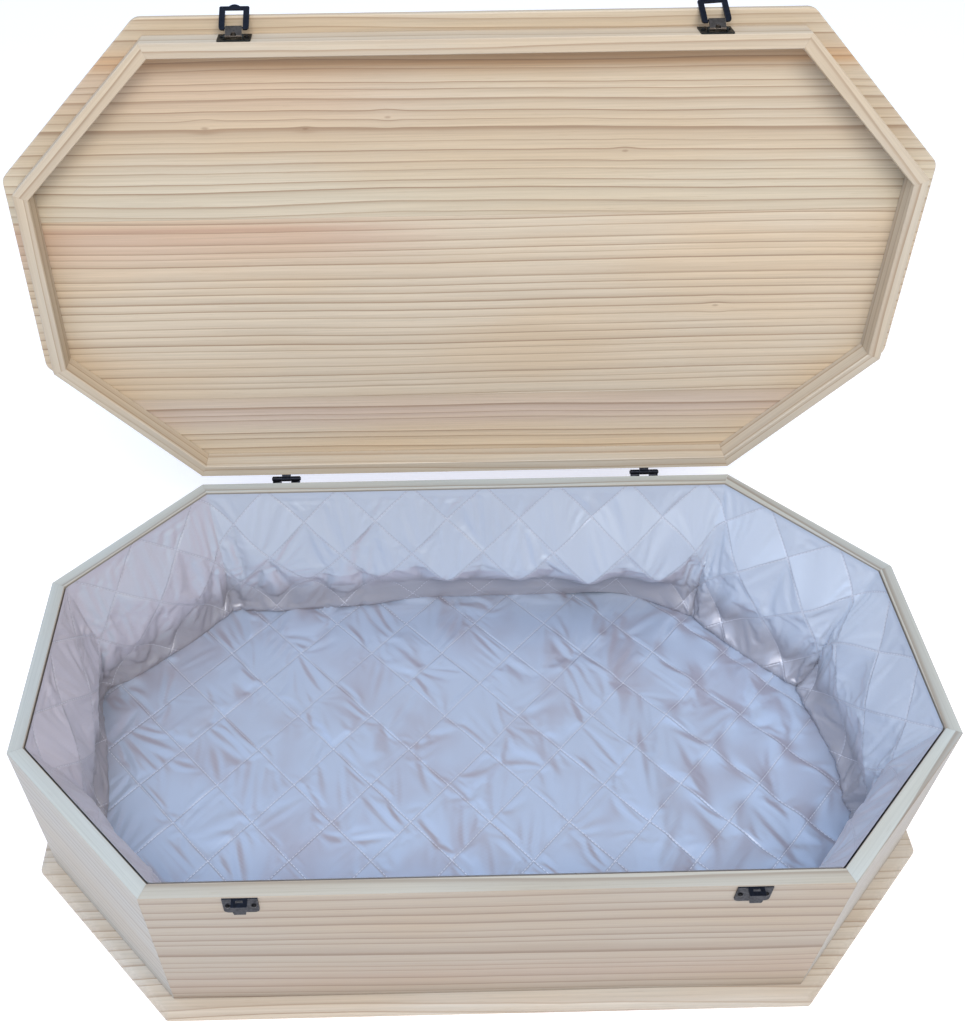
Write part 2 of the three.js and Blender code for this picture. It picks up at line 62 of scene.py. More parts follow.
HALF_LENGTH = 0.440
HALF_WIDTH = 0.2425
CORNER_CUT = 0.141
WALL = 0.014
WALL_BOTTOM = 0.01215
RAIL_BOTTOM = 0.2204
HINGE_AXIS = Vector((0, 0.2479, 0.2202))
LID_ANGLE = math.radians(96.6)
SIDES = ["front", "front_right", "right", "back_right", "back", "back_left", "left", "front_left"]
CORNERS = [
    Vector((x, y, 0)) for x, y in (
        (-HALF_LENGTH + CORNER_CUT, -HALF_WIDTH), (HALF_LENGTH - CORNER_CUT, -HALF_WIDTH),
        (HALF_LENGTH, -HALF_WIDTH + CORNER_CUT), (HALF_LENGTH, HALF_WIDTH - CORNER_CUT),
        (HALF_LENGTH - CORNER_CUT, HALF_WIDTH), (-HALF_LENGTH + CORNER_CUT, HALF_WIDTH),
        (-HALF_LENGTH, HALF_WIDTH - CORNER_CUT), (-HALF_LENGTH, -HALF_WIDTH + CORNER_CUT),
    )
]
LID_TURN = Matrix.Rotation(-LID_ANGLE, 4, "X")
X_AXIS, Y_AXIS, Z_AXIS = Vector((1, 0, 0)), Vector((0, 1, 0)), Vector((0, 0, 1))


def on_open_lid(point):
    """A point of the closed lid, where it is with the lid open."""
    return HINGE_AXIS + LID_TURN @ (point - HINGE_AXIS)


# Node graphs


class Graph:
    """A material's node tree, built by calls that return sockets."""

    def __init__(self, name):
        self.material = bpy.data.materials.new(name)
        self.material.use_nodes = True
        self.tree = self.material.node_tree
        self.tree.nodes.clear()
        self.output = self.tree.nodes.new("ShaderNodeOutputMaterial")

    def node(self, kind, inputs=None, **settings):
        made = self.tree.nodes.new(kind)
        for key, value in settings.items():
            setattr(made, key, value)
        for key, value in (inputs or {}).items():
            self.feed(made.inputs[key], value)
        return made

    def feed(self, socket, value):
        if isinstance(value, bpy.types.NodeSocket):
            self.tree.links.new(value, socket)
        elif socket.type == "RGBA" and not isinstance(value, (int, float)) and len(value) == 3:
            socket.default_value = (*value, 1)
        else:
            socket.default_value = value

    def math(self, operation, first, second=0.0, third=0.0, clamp=False):
        made = self.node("ShaderNodeMath", {0: first, 1: second, 2: third}, operation=operation)
        made.use_clamp = clamp
        return made.outputs[0]

    def vector(self, operation, first, second=(0, 0, 0)):
        made = self.node("ShaderNodeVectorMath", {0: first, 1: second}, operation=operation)
        return made.outputs["Value" if operation in ("DOT_PRODUCT", "LENGTH", "DISTANCE") else "Vector"]

    def combine(self, x, y, z):
        return self.node("ShaderNodeCombineXYZ", {0: x, 1: y, 2: z}).outputs[0]

    def split(self, vector):
        return self.node("ShaderNodeSeparateXYZ", {0: vector}).outputs

    def noise(self, vector, scale=1.0, detail=2.0, roughness=0.5, dimensions="3D"):
        made = self.node("ShaderNodeTexNoise", {"Scale": scale, "Detail": detail, "Roughness": roughness},
                         noise_dimensions=dimensions)
        self.feed(made.inputs["W" if dimensions == "1D" else "Vector"], vector)
        return made.outputs["Fac"]

    def random(self, value, offset=0.0):
        made = self.node("ShaderNodeTexWhiteNoise", noise_dimensions="1D")
        self.feed(made.inputs["W"], self.math("ADD", value, offset))
        return made.outputs["Value"]

    def span(self, value, low, high, to_low=0.0, to_high=1.0, smooth=True):
        made = self.node("ShaderNodeMapRange", {0: value, 1: low, 2: high, 3: to_low, 4: to_high})
        made.interpolation_type = "SMOOTHSTEP" if smooth else "LINEAR"
        return made.outputs[0]

    def mix(self, factor, first, second, blend="MIX"):
        made = self.node("ShaderNodeMix", data_type="RGBA", blend_type=blend)
        colours = [socket for socket in made.inputs if socket.type == "RGBA"]
        self.feed(made.inputs["Factor"], factor)
        self.feed(colours[0], first)
        self.feed(colours[1], second)
        return next(socket for socket in made.outputs if socket.type == "RGBA")

    def bump(self, height, strength, distance):
        inputs = {"Height": height, "Strength": strength, "Distance": distance}
        return self.node("ShaderNodeBump", inputs).outputs[0]

    def surface(self, **inputs):
        named = {key.replace("_", " "): value for key, value in inputs.items()}
        shader = self.node("ShaderNodeBsdfPrincipled", named)
        self.tree.links.new(shader.outputs[0], self.output.inputs["Surface"])
        return shader

    def object_point(self):
        return self.node("ShaderNodeTexCoord").outputs["Object"]


# Pine

# How far the growth lines stray over a board's length, and from place to place
LINE_WANDER = 0.030
LINE_SHIVER = 0.0026
# How strongly each mark tints the board
SUMMER_SHARE = 0.85
EDGE_SHARE = 0.62
FLECK_SHARE = 0.16
KNOT_SHARE = 0.35
KNOT_COLOUR = (0.17, 0.075, 0.032)


def bell(graph, value, centre, half_width):
    """1 at the centre, falling to 0 over a few half widths."""
    off = graph.math("DIVIDE", graph.math("SUBTRACT", value, centre), half_width)
    return graph.math("POWER", math.e, graph.math("MULTIPLY", graph.math("MULTIPLY", off, off), -1.0))


def drawn_out(graph, spot, stretch, shift, detail=1.0):
    """Noise drawn out along the board."""
    return graph.noise(graph.vector("ADD", graph.vector("MULTIPLY", spot, stretch), shift), detail=detail)


def pine(name, origin, along, across, depth, seed, spacing, pith, light, dark=(0.26, 0.145, 0.070),
         bands=(), knots=(), contrast=1.0, flow=1.0, painted_sky_tint=None):
    """Pine sawn along the grain. Origin, along, across and depth are the board's own frame; bands are
    (centre, slope, half width, from, to, colour, share) across the board and knots (along, across, radius).
    Painted sky tint multiplies the colour of the faces that look along across: painted cool sky light on the
    top edges of a board.
    """
    graph = Graph(name)
    place = graph.vector("SUBTRACT", graph.object_point(), origin)
    u, v, w = (graph.vector("DOT_PRODUCT", place, axis) for axis in (along, across, depth))
    spot = graph.combine(u, v, w)

    # The growth lines wander slowly along the board, and swing round the knots

    slow = drawn_out(graph, spot, (1.7, 4.0, 4.0), (seed, seed, 0))
    fine = drawn_out(graph, spot, (9.0, 30.0, 30.0), (0, seed, seed))
    wander = graph.math("MULTIPLY", graph.math("SUBTRACT", slow, 0.5), LINE_WANDER * flow)
    shiver = graph.math("MULTIPLY", graph.math("SUBTRACT", fine, 0.5), LINE_SHIVER * flow)
    v_bent = graph.math("ADD", graph.math("ADD", v, wander), shiver)
    knot_mask = None
    for knot_u, knot_v, radius in knots:
        off_u = graph.math("SUBTRACT", u, knot_u)
        off_v = graph.math("SUBTRACT", v, knot_v)
        near_u = bell(graph, u, knot_u, 4 * radius)
        near_v = bell(graph, v, knot_v, 2.4 * radius)
        reach = graph.math("MULTIPLY", near_u, near_v)
        push = graph.math("MULTIPLY", off_v, graph.math("MULTIPLY", reach, -0.5))
        v_bent = graph.math("ADD", v_bent, push)
        size = graph.vector("LENGTH", graph.combine(graph.math("MULTIPLY", off_u, 0.4), off_v, 0.0))
        spot_mask = graph.span(size, 0.15 * radius, 0.6 * radius, 1.0, 0.0)
        knot_mask = spot_mask if knot_mask is None else graph.math("MAXIMUM", knot_mask, spot_mask)

    from_pith = graph.vector("LENGTH", graph.combine(
        graph.math("SUBTRACT", v_bent, pith[0]), graph.math("SUBTRACT", w, pith[1]), 0.0))
    rings = graph.math("DIVIDE", from_pith, spacing)
    year = graph.math("ADD", graph.math("MULTIPLY", rings, 0.45), seed)
    uneven = graph.noise(year, detail=1.0, dimensions="1D")
    rings = graph.math("ADD", rings, graph.math("MULTIPLY", uneven, 1.2))
    ring_number = graph.math("FLOOR", rings)
    phase = graph.math("FRACT", rings)
    strength = graph.span(graph.random(ring_number, seed), 0.0, 1.0, 0.45, 1.0, smooth=False)
    strength = graph.math("MULTIPLY", strength, contrast)
    summer = graph.math("MULTIPLY", graph.math("POWER", phase, 1.8), strength)
    edge = graph.math("MULTIPLY", graph.span(phase, 0.80, 0.95), graph.span(phase, 0.975, 1.0, 1.0, 0.0))
    edge = graph.math("MULTIPLY", edge, strength)

    # Long fibres, and short darker flecks in them
    fibre = graph.noise(graph.vector("MULTIPLY", spot, (7.0, 620.0, 620.0)), detail=3.0, roughness=0.6)
    fleck = graph.noise(graph.vector("MULTIPLY", spot, (38.0, 900.0, 900.0)), detail=1.0)
    fleck = graph.span(fleck, 0.66, 0.78)
    cloud = drawn_out(graph, spot, (3.5, 14.0, 14.0), (seed, 0, seed), detail=2.0)

    tan = tuple(0.48 * a + 0.52 * b for a, b in zip(light, dark))
    warmer = tuple(c * f for c, f in zip(light, (1.0, 0.93, 0.85)))
    colour = graph.mix(graph.span(cloud, 0.35, 0.68), light, warmer)
    for centre, slope, half_width, start, stop, tint, share in bands:
        middle = graph.math("ADD", centre, graph.math("MULTIPLY", u, slope))
        middle = graph.math("ADD", middle, graph.math("MULTIPLY", wander, 0.8))
        ends = graph.math("MULTIPLY", graph.span(u, start - 0.05, start + 0.05),
                          graph.span(u, stop - 0.09, stop + 0.09, 1.0, 0.0))
        mask = graph.math("MULTIPLY", bell(graph, v, middle, half_width), ends)
        mask = graph.math("MULTIPLY", mask, graph.span(phase, 0.0, 1.0, 0.45, 1.0, smooth=False))
        colour = graph.mix(graph.math("MULTIPLY", mask, share), colour, tint)
    colour = graph.mix(graph.math("MULTIPLY", summer, SUMMER_SHARE), colour, tan)
    colour = graph.mix(graph.math("MULTIPLY", edge, EDGE_SHARE), colour, dark)
    streak = graph.span(fibre, 0.30, 0.72, 0.90, 1.06, smooth=False)
    colour = graph.mix(1.0, colour, graph.combine(streak, streak, streak), "MULTIPLY")
    colour = graph.mix(graph.math("MULTIPLY", fleck, FLECK_SHARE), colour, dark)
    if knot_mask is not None:
        colour = graph.mix(graph.math("MULTIPLY", knot_mask, KNOT_SHARE), colour, KNOT_COLOUR)
    # Painted light: the faces that look along across get a pale, cool tint for the sky light that falls on
    # them.
    if painted_sky_tint is not None:
        facing = graph.vector("DOT_PRODUCT", graph.node("ShaderNodeTexCoord").outputs["Normal"], across)
        colour = graph.mix(graph.span(facing, 0.80, 0.98), colour, graph.mix(1.0, colour, painted_sky_tint, "MULTIPLY"))
    relief = graph.math("ADD", graph.math("MULTIPLY", fibre, 0.6), graph.math("MULTIPLY", edge, 0.5))
    graph.surface(Base_Color=colour, Roughness=graph.span(fibre, 0.2, 0.8, 0.46, 0.60, smooth=False),
                  Specular_IOR_Level=0.38, Normal=graph.bump(relief, 0.25, 0.0004))
    return graph.material


def dress(node, material, bevel=None):
    """Gives a solid its material, and joins and eases its faceted edges for the render."""
    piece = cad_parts[node]
    for slot in piece.material_slots:
        slot.material = material
    weld = piece.modifiers.new("weld", "WELD")
    weld.merge_threshold = 0.00001
    if bevel:
        ease = piece.modifiers.new("ease", "BEVEL")
        ease.width = bevel
        ease.segments = 2
        ease.limit_method = "ANGLE"
        ease.angle_limit = math.radians(35)
        ease.harden_normals = False
    return piece


for number, side in enumerate(SIDES):
    turn = math.radians(45 * number)
    along = Vector((math.cos(turn), math.sin(turn), 0))
    inward = Vector((-along.y, along.x, 0))
    corner = CORNERS[number]
    front = side == "front"
    # The walls' top edges get a painted pale, cool sky tint.
    wall = pine(
        f"pine_wall_{side}", corner + Vector((0, 0, WALL_BOTTOM)), along, Z_AXIS, inward,
        seed=3.7 * number + 1.3, spacing=0.0128, pith=(0.42, -0.16),
        light=(0.44, 0.37, 0.285) if front else (0.45, 0.42, 0.36), dark=(0.20, 0.12, 0.070),
        bands=[(0.03, 0.02, 0.028, -1, 2, (0.46, 0.33, 0.25), 0.55)] if front else (),
        contrast=1.05 if front else 0.8, painted_sky_tint=(1.04, 1.15, 1.22),
    )
    dress(f"wall_{side}", wall)
    rail_corner = on_open_lid(corner + Vector((0, 0, RAIL_BOTTOM)))
    rail = pine(
        f"pine_rail_{side}", rail_corner, LID_TURN.to_3x3() @ along, LID_TURN.to_3x3() @ Z_AXIS,
        LID_TURN.to_3x3() @ inward, seed=5.1 * number + 0.4, spacing=0.0085, pith=(0.25, 0.30),
        light=(0.57, 0.49, 0.37), dark=(0.32, 0.20, 0.11), contrast=0.9,
    )
    dress(f"lid_rail_{side}", rail)

ORIGIN = Vector((0, 0, 0))
LID_FRAME = [on_open_lid(ORIGIN)] + [LID_TURN.to_3x3() @ axis for axis in (X_AXIS, Y_AXIS, Z_AXIS)]
dress("lid_plank_front", pine(
    "pine_lid_front", *LID_FRAME, seed=11.0, spacing=0.0078, pith=(0.6, -0.35), light=(0.58, 0.483, 0.348),
    bands=[
        (-0.217, 0.006, 0.009, -0.5, 0.50, (0.52, 0.27, 0.10), 1.0),
        (-0.180, 0.05, 0.026, -0.6, -0.05, (0.60, 0.42, 0.31), 0.5),
        (-0.085, 0.0, 0.030, -0.6, 0.6, (0.66, 0.60, 0.44), 0.6),
    ],
    knots=[
        (-0.253, -0.155, 0.0035), (-0.158, -0.153, 0.0028), (-0.080, -0.163, 0.003), (0.148, -0.126, 0.003),
    ],
))
dress("lid_plank_middle", pine(
    "pine_lid_middle", *LID_FRAME, seed=23.0, spacing=0.0080, pith=(-0.7, -0.3), flow=0.6,
    light=(0.65, 0.54, 0.39),
    bands=[
        (-0.042, -0.02, 0.024, -0.6, -0.06, (0.55, 0.33, 0.235), 0.65),
        (-0.050, 0.0, 0.006, -0.6, -0.12, (0.42, 0.20, 0.125), 0.55),
    ],
    knots=[(0.261, 0.046, 0.0032)],
))
dress("lid_plank_back", pine(
    "pine_lid_back", *LID_FRAME, seed=31.0, spacing=0.0082, pith=(0.8, -0.4), flow=0.6,
    light=(0.67, 0.56, 0.405),
    bands=[(0.172, 0.0, 0.020, -0.6, 0.6, (0.56, 0.41, 0.35), 0.75)],
))
for name, seed in (("front", 41.0), ("middle", 47.0), ("back", 53.0)):
    dress(f"base_plank_{name}", pine(
        f"pine_base_{name}", ORIGIN, X_AXIS, Y_AXIS, Z_AXIS, seed=seed, spacing=0.009,
        pith=(0.5, 0.30), light=(0.57, 0.50, 0.40), contrast=0.9,
    ))

# Metal


def plated_metal(name, base, worn, roughness, wear):
    """Blackened plating, rubbed brighter along its edges."""
    graph = Graph(name)
    point = graph.object_point()
    patches = graph.noise(point, scale=420.0, detail=3.0)
    grain = graph.noise(point, scale=2600.0, detail=2.0)
    rounded = graph.node("ShaderNodeBevel", {"Radius": 0.0006}, samples=4).outputs[0]
    flat = graph.node("ShaderNodeNewGeometry").outputs["Normal"]
    edge = graph.span(graph.vector("DOT_PRODUCT", rounded, flat), 0.985, 0.80)
    edge = graph.math("MULTIPLY", edge, graph.span(patches, 0.35, 0.62, 0.25, 1.0))
    colour = graph.mix(graph.span(patches, 0.35, 0.7), base, tuple(0.6 * c for c in base))
    colour = graph.mix(graph.math("MULTIPLY", edge, wear), colour, worn)
    rough = graph.math("ADD", graph.span(patches, 0.3, 0.7, roughness - 0.08, roughness + 0.10),
                       graph.math("MULTIPLY", grain, 0.05))
    graph.surface(Base_Color=colour, Metallic=0.85, Roughness=rough,
                  Normal=graph.bump(grain, 0.12, 0.00008))
    return graph.material


black_metal = plated_metal("black_plating", (0.013, 0.014, 0.020), (0.10, 0.10, 0.11), 0.36, 0.6)
plate_metal = plated_metal("dark_plating", (0.022, 0.026, 0.024), (0.12, 0.115, 0.105), 0.42, 0.5)
lever_metal = plated_metal("bronze_plating", (0.085, 0.066, 0.050), (0.32, 0.27, 0.21), 0.34, 0.8)
screw_metal = plated_metal("screw_plating", (0.020, 0.019, 0.019), (0.14, 0.13, 0.12), 0.32, 0.7)

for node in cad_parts:
    if "screw" in node or node.endswith("_pin"):
        dress(node, screw_metal, 0.0002)
    elif node.endswith("_lever"):
        dress(node, lever_metal, 0.0003)
    elif node.endswith("_plate"):
        dress(node, plate_metal, 0.0003)
    elif node.startswith("catch") or node.endswith("_loop") or node.endswith("_leaf"):
        dress(node, black_metal, 0.0003)

# Lining: satin over wadding, stitched in diamonds. Each mesh is laid out on its stitch lines, as
# numbers a and b that are whole on the two families of lines.

CELL_STEPS = 20
INNER_INSET = WALL
BAND_HALF_PITCH = (0.04119, 0.045)
BAND_CROSSING = (1.1334, 0.0855)
BAND_COLUMNS = 56
FLOOR_HALF_PITCH = (0.0413, 0.043)
FLOOR_CROSSING = (0.012, 0.0045)
FLOOR_DROOP = 0.0215
# How far the band's foot stands in from the wall, by distance round the walls from the front's
# middle, both in mm
FOOT = [
    (0, 25), (293, 27), (387, 25), (481, 38), (507, 47), (537, 36), (585, 42), (634, 55),
    (672, 56), (768, 55), (860, 51), (990, 46), (1070, 30), (1133, 18), (1255, 23), (1388, 30),
    (1447, 30), (1522, 28), (1605, 23), (1643, 9), (1700, 22), (1782, 40), (1826, 38), (1920, 30),
    (2014, 27), (2306.8, 25),
]
# The long soft crease in the floor: x at each y, from front to back
CREASE = ((-0.190, -0.131, -0.015, 0.075, 0.168), (0.200, 0.194, 0.183, 0.168, 0.158))
BAND_HEM_HEIGHT = 0.2185
BAND_FOOT_HEIGHT = 0.046
FLOOR_SEAM_HEIGHT = 0.0395


def inset_corner(number, inset):
    """A corner of the plan after its two sides have moved in."""
    turn = math.radians(45 * number)
    along, inward = Vector((math.cos(turn), math.sin(turn), 0)), Vector((-math.sin(turn), math.cos(turn), 0))
    return CORNERS[number] + inward * inset + along * (inset * math.tan(math.radians(22.5)))


INNER_CORNERS = [inset_corner(number, INNER_INSET) for number in range(8)]
SIDE_LENGTHS = [(INNER_CORNERS[(n + 1) % 8] - INNER_CORNERS[n]).length for n in range(8)]
ROUND = sum(SIDE_LENGTHS)
SIDE_STARTS = [sum(SIDE_LENGTHS[:n]) - SIDE_LENGTHS[0] / 2 for n in range(8)]


def wander(points, seed, size, octaves=2):
    """Smooth noise in -1..1 at points (n, 3), with features of the given size."""
    total = np.zeros(len(points))
    share = 0.0
    for octave in range(octaves):
        weight = 0.5 ** octave
        share += weight
        scale = 2.0 ** octave / size
        shift = Vector((seed * 7.31, seed * 3.17 + 11.0 * octave, seed * 1.93))
        values = [noise.noise(Vector(point) * scale + shift) for point in points]
        total += weight * np.array(values)
    return total / share


def foot_inset(distance):
    """How far the band's foot stands in from the wall, smoothed along the walls."""
    places = np.array([place for place, inset in FOOT]) / 1000
    insets = np.array([inset for place, inset in FOOT]) / 1000
    return sum(np.interp((distance + step) % ROUND, places, insets) for step in (-0.018, 0.0, 0.018)) / 3


def wall_point(distance):
    """The inner wall line at a distance round it, and its inward direction, turned gradually at corners."""
    distance = distance % ROUND
    side = max((n for n in range(8) if SIDE_STARTS[n] <= distance), default=0)
    if distance > SIDE_STARTS[7] + SIDE_LENGTHS[7]:
        side, distance = 0, distance - ROUND
    turn = math.radians(45 * side)
    point = INNER_CORNERS[side] + Vector((math.cos(turn), math.sin(turn), 0)) * (distance - SIDE_STARTS[side])
    reach = 0.045
    before = distance - SIDE_STARTS[side]
    after = SIDE_STARTS[side] + SIDE_LENGTHS[side] - distance
    ease = 0.0
    if before < reach:
        ease = -0.5 * (1 - before / reach) ** 2
    elif after < reach:
        ease = 0.5 * (1 - after / reach) ** 2
    turn += math.radians(45) * ease
    return point, Vector((-math.sin(turn), math.cos(turn), 0))


def band_profile(distance):
    """The band's section at a distance round the walls: insets, heights and the length so far."""
    foot = float(foot_inset(distance))
    flank = 0.5 * foot + 0.012
    overhang = math.exp(-((distance - 1.075) / 0.17) ** 6)
    belly = flank + 0.010 * overhang
    under = foot * 0.66 * (1 - overhang) + 0.013 * overhang
    foot = foot * (1 - overhang) + 0.011 * overhang
    knots = [
        (0.0015, BAND_HEM_HEIGHT + 0.01), (0.0015, BAND_HEM_HEIGHT), (0.0025, BAND_HEM_HEIGHT - 0.006),
        (0.007 + 0.1 * foot, 0.186), (0.9 * flank, 0.146),
        (belly, 0.106 - 0.006 * overhang), (under, 0.072 + 0.004 * overhang),
        (under + 0.2 * (foot - under), 0.057),
        (foot, BAND_FOOT_HEIGHT), (foot - 0.003, 0.0385), (foot - 0.014, 0.0345),
        (foot - 0.030, 0.033), (foot - 0.045, 0.033),
    ]
    points = []
    for index in range(1, len(knots) - 2):
        p0, p1, p2, p3 = (np.array(knots[index + k]) for k in (-1, 0, 1, 2))
        for step in range(8):
            f = step / 8
            points.append(0.5 * (2 * p1 + (p2 - p0) * f + (2 * p0 - 5 * p1 + 4 * p2 - p3) * f * f
                                 + (3 * p1 - p0 - 3 * p2 + p3) * f ** 3))
    points = np.array(points)
    steps = np.hypot(*np.diff(points, axis=0).T)
    return points[:, 0], points[:, 1], np.concatenate([[0], np.cumsum(steps)])


def diamond_mesh(name, cells, position, keep=None):
    """A sheet on a diamond lattice. Cells is (low p, high p, low q, high q, wraps) in steps, where p is a + b
    and q is a - b; position maps (n, 2) arrays of p and q in cells to points."""
    low_p, high_p, low_q, high_q, wraps = cells
    index, order = {}, []
    for q in range(low_q, high_q + 1):
        for p in range(low_p, high_p if wraps else high_p + 1):
            if (p + q) % 2 == 0:
                index[p, q] = len(order)
                order.append((p, q))

    def at(p, q):
        if wraps and p >= high_p:
            p -= high_p - low_p
        return index.get((p, q))

    faces = []
    for p, q in order:
        corners = [at(p, q), at(p + 1, q - 1), at(p + 2, q), at(p + 1, q + 1)]
        faces.append([corner for corner in corners if corner is not None])
    order = np.array(order)
    points = position(order / CELL_STEPS)
    faces = [face for face in faces if len(face) >= 3]
    if keep is not None:
        inside = keep(points)
        faces = [face for face in faces if all(inside[corner] for corner in face)]
    used = sorted({corner for face in faces for corner in face})
    renumber = {old: new for new, old in enumerate(used)}
    mesh = bpy.data.meshes.new(name)
    mesh.from_pydata([tuple(points[old]) for old in used], [],
                     [[renumber[corner] for corner in face] for face in faces])
    mesh.update()
    return mesh, order[used]


def quilt_layout(mesh, steps):
    """Stores each point's place between stitch lines as a UV map, and says which points are stitched."""
    a = (steps[:, 0] + steps[:, 1]) / 2 / CELL_STEPS
    b = (steps[:, 0] - steps[:, 1]) / 2 / CELL_STEPS
    layer = mesh.uv_layers.new(name="quilt")
    corners = np.zeros(len(mesh.loops), int)
    mesh.loops.foreach_get("vertex_index", corners)
    uv = np.stack([a[corners], b[corners]], axis=1)
    for start, total in ((face.loop_start, face.loop_total) for face in mesh.polygons):
        block = uv[start:start + total]
        far = block[:, 0] - block[0, 0] < -BAND_COLUMNS / 4
        block[far] += BAND_COLUMNS / 2
    layer.data.foreach_set("uv", uv.ravel())
    step_a, step_b = (steps[:, 0] + steps[:, 1]) // 2, (steps[:, 0] - steps[:, 1]) // 2
    return (step_a % CELL_STEPS == 0) | (step_b % CELL_STEPS == 0)


# The frames by which the cloth is gathered, and by which it has settled
GATHERED_FRAME = 7
SETTLED_FRAME = 17


def puff(piece, stitched, cloth_points, slack, pressure):
    """Gathers the cloth from its full size onto its stitches and fills it, by simulation."""
    count = len(piece.data.vertices)
    sewn = mesh_points(piece.data)
    piece.data.vertices.foreach_set("co", cloth_points.astype(np.float32).ravel())
    piece.shape_key_add(name="full")
    gathered = piece.shape_key_add(name="sewn")
    gathered.data.foreach_set("co", sewn.astype(np.float32).ravel())
    for value, moment in ((0.0, 1), (1.0, GATHERED_FRAME)):
        gathered.value = value
        gathered.keyframe_insert("value", frame=moment)
    pins = piece.vertex_groups.new(name="stitches")
    pins.add([int(index) for index in np.flatnonzero(stitched)], 1.0, "REPLACE")
    cloth = piece.modifiers.new("cloth", "CLOTH")
    settings = cloth.settings
    settings.quality = 4
    settings.mass = 0.15
    settings.tension_stiffness = settings.compression_stiffness = 20
    settings.shear_stiffness = 8
    settings.bending_stiffness = 0.002
    settings.tension_damping = settings.compression_damping = 6
    settings.bending_damping = 0.2
    settings.air_damping = 2
    settings.vertex_group_mass = "stitches"
    settings.shrink_min = -slack
    settings.use_pressure = True
    settings.uniform_pressure_force = pressure
    settings.effector_weights.gravity = 0
    cloth.collision_settings.use_collision = False
    cloth.collision_settings.use_self_collision = False
    cloth.point_cache.frame_start = 1
    cloth.point_cache.frame_end = SETTLED_FRAME
    for step in range(1, SETTLED_FRAME + 1):
        scene.frame_set(step)
    shaped = piece.evaluated_get(bpy.context.evaluated_depsgraph_get())
    points = np.zeros(3 * count, np.float32)
    shaped.data.vertices.foreach_get("co", points)
    piece.modifiers.clear()
    piece.shape_key_clear()
    piece.vertex_groups.clear()
    piece.data.vertices.foreach_set("co", points)
    piece.data.update()
    scene.frame_set(1)


def swell(mesh, steps, height, free):
    """Lifts the cloth between its stitches along its own normals, by as much as each point is free."""
    a = (steps[:, 0] + steps[:, 1]) / 2 / CELL_STEPS
    b = (steps[:, 0] - steps[:, 1]) / 2 / CELL_STEPS
    dome = free * np.sqrt(np.abs(np.sin(math.pi * a) * np.sin(math.pi * b)))
    points = np.zeros(3 * len(mesh.vertices), np.float32)
    mesh.vertices.foreach_get("co", points)
    normals = np.zeros(3 * len(mesh.vertices), np.float32)
    mesh.vertices.foreach_get("normal", normals)
    points = points.reshape(-1, 3) + normals.reshape(-1, 3) * (dome * height)[:, None]
    mesh.vertices.foreach_set("co", points.astype(np.float32).ravel())
    mesh.update()


def band_points(steps, fullness=0.0):
    """Points of the band. With some fullness, a larger band: the size of the cloth before it is gathered."""
    distances = BAND_CROSSING[0] + steps[:, 0] * BAND_HALF_PITCH[0]
    lengths = BAND_CROSSING[1] + steps[:, 1] * BAND_HALF_PITCH[1]
    unique, which = np.unique(np.round(distances, 6), return_inverse=True)
    points = np.zeros((len(steps), 3))
    for number, distance in enumerate(unique):
        chosen = np.flatnonzero(which == number)
        insets, heights, along = band_profile(distance % ROUND)
        base, inward = wall_point(distance)
        inset = np.interp(lengths[chosen], along, insets) * (1 - 0.45 * (fullness > 0))
        points[chosen, 0] = base.x + inward.x * inset
        points[chosen, 1] = base.y + inward.y * inset
        points[chosen, 2] = np.interp(lengths[chosen], along, heights)
    if not fullness:
        sway = np.stack([wander(points, seed, 0.055) for seed in (1, 2, 3)], axis=1)
        below_hem = np.clip((BAND_HEM_HEIGHT - points[:, 2]) / 0.03, 0, 1)
        points = points + sway * (0.0022 * below_hem)[:, None]
    return points * (1 + fullness, 1 + fullness, 1)


def floor_points(steps, fullness=0.0):
    x = FLOOR_CROSSING[0] + steps[:, 0] * FLOOR_HALF_PITCH[0]
    y = FLOOR_CROSSING[1] + steps[:, 1] * FLOOR_HALF_PITCH[1] - FLOOR_DROOP * x
    z = np.full(len(x), FLOOR_SEAM_HEIGHT)
    if not fullness:
        # Soft folds across the right-hand end, and one long crease beside them
        points = np.stack([x, y, z], axis=1)
        bend = 0.006 * wander(points, 5, 0.12)
        share = np.clip((x - 0.17) / 0.06, 0, 1) * np.clip((0.42 - x) / 0.08, 0, 1)
        folds = np.sin(2 * math.pi * (x + bend + 0.06 * y) / 0.036)
        z = z + 0.0016 * share * folds + 0.0014 * wander(points, 6, 0.09)
        off = x - np.interp(y, *CREASE) + 0.3 * bend
        z = z + 0.0032 * np.exp(-np.where(off > 0, off / 0.0045, off / 0.013) ** 2)
        x = x + 0.0012 * wander(points, 7, 0.05)
        y = y + 0.0012 * wander(points, 8, 0.05)
    return np.stack([x * (1 + fullness), y * (1 + 0.35 * fullness), z], axis=1)


def within_walls(points, margin=0.004):
    """Which points are clear of the walls' inner faces."""
    inside = np.ones(len(points), bool)
    for number, corner in enumerate(INNER_CORNERS):
        turn = math.radians(45 * number)
        off = (points[:, 0] - corner.x) * -math.sin(turn) + (points[:, 1] - corner.y) * math.cos(turn)
        inside &= off > margin
    return inside


def quilt(name, mesh, steps, free, cloth_points, material, replaced, slack, pressure, height):
    """A quilted piece of the lining that stands for one of the solids. Free is 0 where the cloth is held."""
    stitched = quilt_layout(mesh, steps) | (free <= 0)
    swell(mesh, steps, height, free)
    piece = bpy.data.objects.new(name, mesh)
    scene.collection.objects.link(piece)
    puff(piece, stitched, cloth_points, slack, pressure)
    mesh.materials.append(material)
    for face in mesh.polygons:
        face.use_smooth = True
    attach(piece, "case")
    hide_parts(replaced)
    return piece


